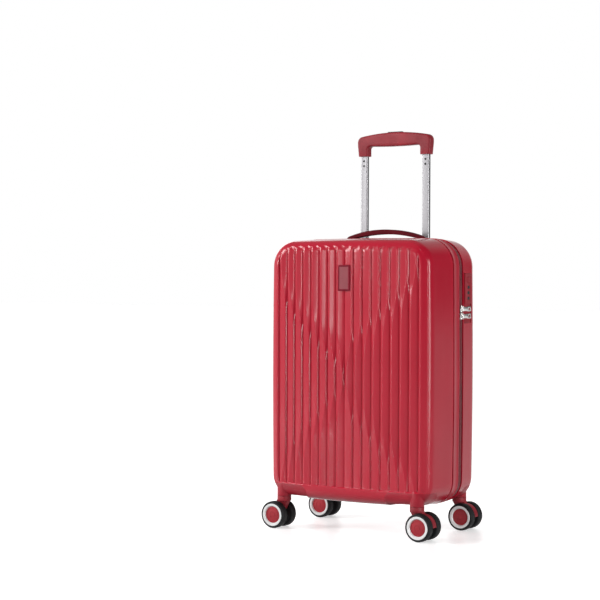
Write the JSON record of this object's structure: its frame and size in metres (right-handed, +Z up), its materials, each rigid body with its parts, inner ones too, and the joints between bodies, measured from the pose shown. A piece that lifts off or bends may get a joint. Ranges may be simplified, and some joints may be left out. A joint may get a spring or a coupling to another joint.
{
  "type": "hard shell suitcase",
  "caption": "Ribbed hard-shell cabin suitcase with telescoping trolley handle, zipper closure, combination lock and twin-wheel swivel casters.",
  "frame": {"origin": "on the floor, midway between the four swivel stems", "axes": "+X to the case's right (lock side), +Y to the trolley side, +Z up"},
  "size_m": [0.3558, 0.2128, 0.7452],
  "materials": {
    "shell": "glossy moulded, red",
    "band": "satin extruded, red",
    "matte_red": "fine moulded grain, red",
    "dark_plastic": "matte black",
    "tube": "satin anodised",
    "steel": "zinc plated",
    "zip_metal": "satin nickel",
    "zip_tape": "woven tape, dark red",
    "lining": "dark grey polyester",
    "webbing": "woven webbing, black",
    "tyre": "black rubber",
    "rim": "white ring with a red hub cap"
  },
  "bodies": {
    "rear": {"rear_shell": "shell", "rear_lining": "lining", "main_zip_rear": "zip_tape", "hinge_strip": "zip_tape", "lock_housing": "matte_red", "handle_mounts": "matte_red", "trolley_bezel": "matte_red", "outer_tubes": "tube", "tube_foot": "dark_plastic", "rear_wheel_housings": "matte_red", "rear_housing_screws": "steel", "packing_straps": "webbing", "strap_buckle": "dark_plastic"},
    "band": {"expansion_band": "band", "main_zip_front": "zip_tape", "gusset": "zip_tape"},
    "front": {"front_shell": "shell", "badge": "band", "front_lining": "lining", "front_wheel_housings": "matte_red", "front_housing_screws": "steel"},
    "middle_stage": {"middle_tubes": "tube"},
    "inner_stage": {"inner_tubes": "tube", "trolley_grip": "matte_red", "tube_plugs": "dark_plastic"},
    "release": {"release_button": "dark_plastic", "release_rods": "steel"},
    "carry_handle": {"carry_handle": "matte_red"},
    "dial_1": {"dial_1": "dark_plastic"},
    "dial_2": {"dial_2": "dark_plastic"},
    "dial_3": {"dial_3": "dark_plastic"},
    "lock_button": {"lock_button": "matte_red"},
    "slider_upper": {"slider_upper": "zip_metal"},
    "pull_upper": {"pull_upper": "zip_metal"},
    "slider_lower": {"slider_lower": "zip_metal"},
    "pull_lower": {"pull_lower": "zip_metal"},
    "caster_front_left": {"fork_front_left": "matte_red", "pins_front_left": "steel"},
    "wheel_front_left_a": {"tyre_front_left_a": "tyre", "rim_front_left_a": "rim"},
    "wheel_front_left_b": {"tyre_front_left_b": "tyre", "rim_front_left_b": "rim"},
    "caster_front_right": {"fork_front_right": "matte_red", "pins_front_right": "steel"},
    "wheel_front_right_a": {"tyre_front_right_a": "tyre", "rim_front_right_a": "rim"},
    "wheel_front_right_b": {"tyre_front_right_b": "tyre", "rim_front_right_b": "rim"},
    "caster_rear_left": {"fork_rear_left": "matte_red", "pins_rear_left": "steel"},
    "wheel_rear_left_a": {"tyre_rear_left_a": "tyre", "rim_rear_left_a": "rim"},
    "wheel_rear_left_b": {"tyre_rear_left_b": "tyre", "rim_rear_left_b": "rim"},
    "caster_rear_right": {"fork_rear_right": "matte_red", "pins_rear_right": "steel"},
    "wheel_rear_right_a": {"tyre_rear_right_a": "tyre", "rim_rear_right_a": "rim"},
    "wheel_rear_right_b": {"tyre_rear_right_b": "tyre", "rim_rear_right_b": "rim"}
  },
  "joints": [
    {"name": "lid_hinge", "type": "hinge", "parent": "rear", "child": "band", "pos_m": [-0.1745, 0.0248, 0.297], "axis": [0, 0, -1], "range_deg": [0, 180], "deforming": ["hinge_strip"]},
    {"name": "expansion", "type": "slide", "parent": "band", "child": "front", "axis": [0, -1, 0], "range_m": [0, 0.03], "deforming": ["gusset"]},
    {"name": "trolley_middle", "type": "slide", "parent": "rear", "child": "middle_stage", "axis": [0, 0, 1], "range_m": [0, 0.215]},
    {"name": "trolley_inner", "type": "slide", "parent": "middle_stage", "child": "inner_stage", "axis": [0, 0, 1], "range_m": [-0.187, 0.035]},
    {"name": "trolley_release", "type": "slide", "parent": "inner_stage", "child": "release", "axis": [0, 0, -1], "range_m": [0, 0.004], "stiffness_N_per_m": 450, "springref_m": -0.004},
    {"name": "carry_handle_lift", "type": "slide", "parent": "rear", "child": "carry_handle", "axis": [0, 0, 1], "range_m": [0, 0.018]},
    {"name": "lock_press", "type": "slide", "parent": "rear", "child": "lock_button", "axis": [-1, 0, 0], "range_m": [0, 0.002], "stiffness_N_per_m": 300, "springref_m": -0.002},
    {"name": "dial_1_turn", "type": "hinge", "parent": "rear", "child": "dial_1", "pos_m": [0.1676, 0.049, 0.43], "axis": [0, 0, 1], "continuous": true},
    {"name": "dial_2_turn", "type": "hinge", "parent": "rear", "child": "dial_2", "pos_m": [0.1676, 0.049, 0.44], "axis": [0, 0, 1], "continuous": true},
    {"name": "dial_3_turn", "type": "hinge", "parent": "rear", "child": "dial_3", "pos_m": [0.1676, 0.049, 0.45], "axis": [0, 0, 1], "continuous": true},
    {"name": "slider_upper_run", "type": "slide", "parent": "rear", "child": "slider_upper", "axis": [0, 0, 1], "range_m": [0, 0.0045]},
    {"name": "pull_upper_swing", "type": "hinge", "parent": "slider_upper", "child": "pull_upper", "pos_m": [0.1739, 0.0282, 0.4106], "axis": [0, 0, -1], "range_deg": [0, 150]},
    {"name": "slider_lower_run", "type": "slide", "parent": "rear", "child": "slider_lower", "axis": [0, 0, -1], "range_m": [0, 0.22]},
    {"name": "pull_lower_swing", "type": "hinge", "parent": "slider_lower", "child": "pull_lower", "pos_m": [0.1739, 0.0282, 0.3974], "axis": [0, 0, -1], "range_deg": [0, 150]},
    {"name": "swivel_front_left", "type": "hinge", "parent": "front", "child": "caster_front_left", "pos_m": [-0.1405, -0.0828, 0.07], "axis": [0, 0, 1], "continuous": true},
    {"name": "roll_front_left_a", "type": "hinge", "parent": "caster_front_left", "child": "wheel_front_left_a", "pos_m": [-0.1529, -0.0828, 0.025], "axis": [0, 1, 0], "continuous": true},
    {"name": "roll_front_left_b", "type": "hinge", "parent": "caster_front_left", "child": "wheel_front_left_b", "pos_m": [-0.1529, -0.0828, 0.025], "axis": [0, 1, 0], "continuous": true},
    {"name": "swivel_front_right", "type": "hinge", "parent": "front", "child": "caster_front_right", "pos_m": [0.1405, -0.0828, 0.07], "axis": [0, 0, 1], "continuous": true},
    {"name": "roll_front_right_a", "type": "hinge", "parent": "caster_front_right", "child": "wheel_front_right_a", "pos_m": [0.1529, -0.0828, 0.025], "axis": [0, 1, 0], "continuous": true},
    {"name": "roll_front_right_b", "type": "hinge", "parent": "caster_front_right", "child": "wheel_front_right_b", "pos_m": [0.1529, -0.0828, 0.025], "axis": [0, 1, 0], "continuous": true},
    {"name": "swivel_rear_left", "type": "hinge", "parent": "rear", "child": "caster_rear_left", "pos_m": [-0.1405, 0.0828, 0.07], "axis": [0, 0, 1], "continuous": true},
    {"name": "roll_rear_left_a", "type": "hinge", "parent": "caster_rear_left", "child": "wheel_rear_left_a", "pos_m": [-0.1529, 0.0828, 0.025], "axis": [0, 1, 0], "continuous": true},
    {"name": "roll_rear_left_b", "type": "hinge", "parent": "caster_rear_left", "child": "wheel_rear_left_b", "pos_m": [-0.1529, 0.0828, 0.025], "axis": [0, 1, 0], "continuous": true},
    {"name": "swivel_rear_right", "type": "hinge", "parent": "rear", "child": "caster_rear_right", "pos_m": [0.1405, 0.0828, 0.07], "axis": [0, 0, 1], "continuous": true},
    {"name": "roll_rear_right_a", "type": "hinge", "parent": "caster_rear_right", "child": "wheel_rear_right_a", "pos_m": [0.1529, 0.0828, 0.025], "axis": [0, 1, 0], "continuous": true},
    {"name": "roll_rear_right_b", "type": "hinge", "parent": "caster_rear_right", "child": "wheel_rear_right_b", "pos_m": [0.1529, 0.0828, 0.025], "axis": [0, 1, 0], "continuous": true}
  ]
}
